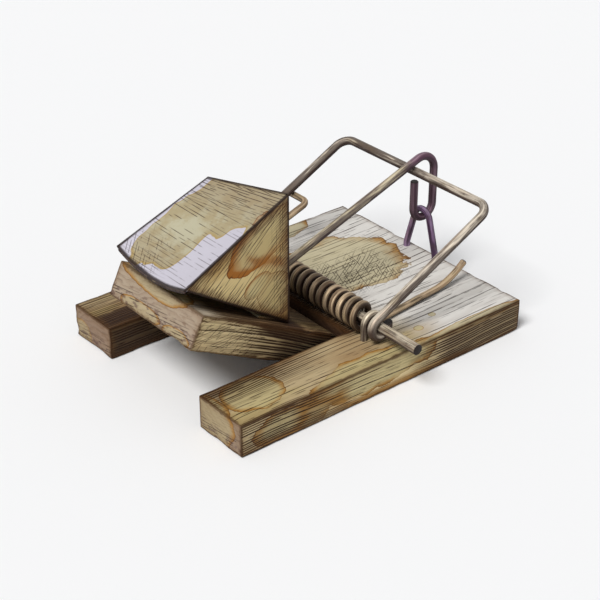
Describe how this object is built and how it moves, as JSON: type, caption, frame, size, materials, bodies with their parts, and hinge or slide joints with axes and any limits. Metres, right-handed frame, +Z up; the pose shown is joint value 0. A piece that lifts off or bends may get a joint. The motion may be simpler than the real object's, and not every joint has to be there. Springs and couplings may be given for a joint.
{
  "type": "snap mouse trap",
  "caption": "Wooden snap trap for mice, drawn set: a notched board, a hinged treadle under a folded tinplate hood, a sprung wire hammer and a hold-down bar.",
  "frame": {"origin": "on the flat underside of the base board, on its centre line, straight below the hammer's axle", "axes": "+X along the board, away from the notched end and towards the hold-down staple; +Y across the board; +Z up"},
  "size_m": [0.103, 0.092, 0.0548],
  "materials": {
    "board_wood": "oiled and stained, worn",
    "treadle_wood": "oiled and stained, worn",
    "tinplate": "dull tinplate with a yellowed lacquer",
    "bright_wire": "drawn wire, dulled",
    "dark_wire": "dark drawn wire",
    "spring_wire": "oil-tempered spring wire",
    "dark_sheet": "dark sheet steel",
    "tack_metal": "dull brassed"
  },
  "bodies": {
    "base": {"base_board": "board_wood", "hinge_pin": "dark_wire", "axle_rod": "bright_wire", "axle_staple_front": "bright_wire", "axle_staple_back": "bright_wire", "spring_coil": "spring_wire", "hold_down_staple": "dark_wire"},
    "hammer": {"hammer": "bright_wire", "spring_moving_leg": "spring_wire"},
    "hold_down_bar": {"hold_down_bar": "dark_wire"},
    "treadle": {"treadle_board": "treadle_wood", "treadle_hood": "tinplate", "catch_plate": "dark_sheet", "treadle_tacks": "tack_metal", "bait_spike": "dark_wire"}
  },
  "joints": [
    {"name": "hammer_swing", "type": "hinge", "parent": "base", "child": "hammer", "pos_m": [0, 0, 0.0146], "axis": [0, -1, 0], "range_deg": [-2, 94]},
    {"name": "hold_down_swing", "type": "hinge", "parent": "base", "child": "hold_down_bar", "pos_m": [0.044, 0, 0.0245], "axis": [0, 1, 0], "range_deg": [0, 150]},
    {"name": "treadle_tilt", "type": "hinge", "parent": "base", "child": "treadle", "pos_m": [-0.009, 0, 0.005], "axis": [0, -1, 0], "range_deg": [0, 26.5]}
  ]
}
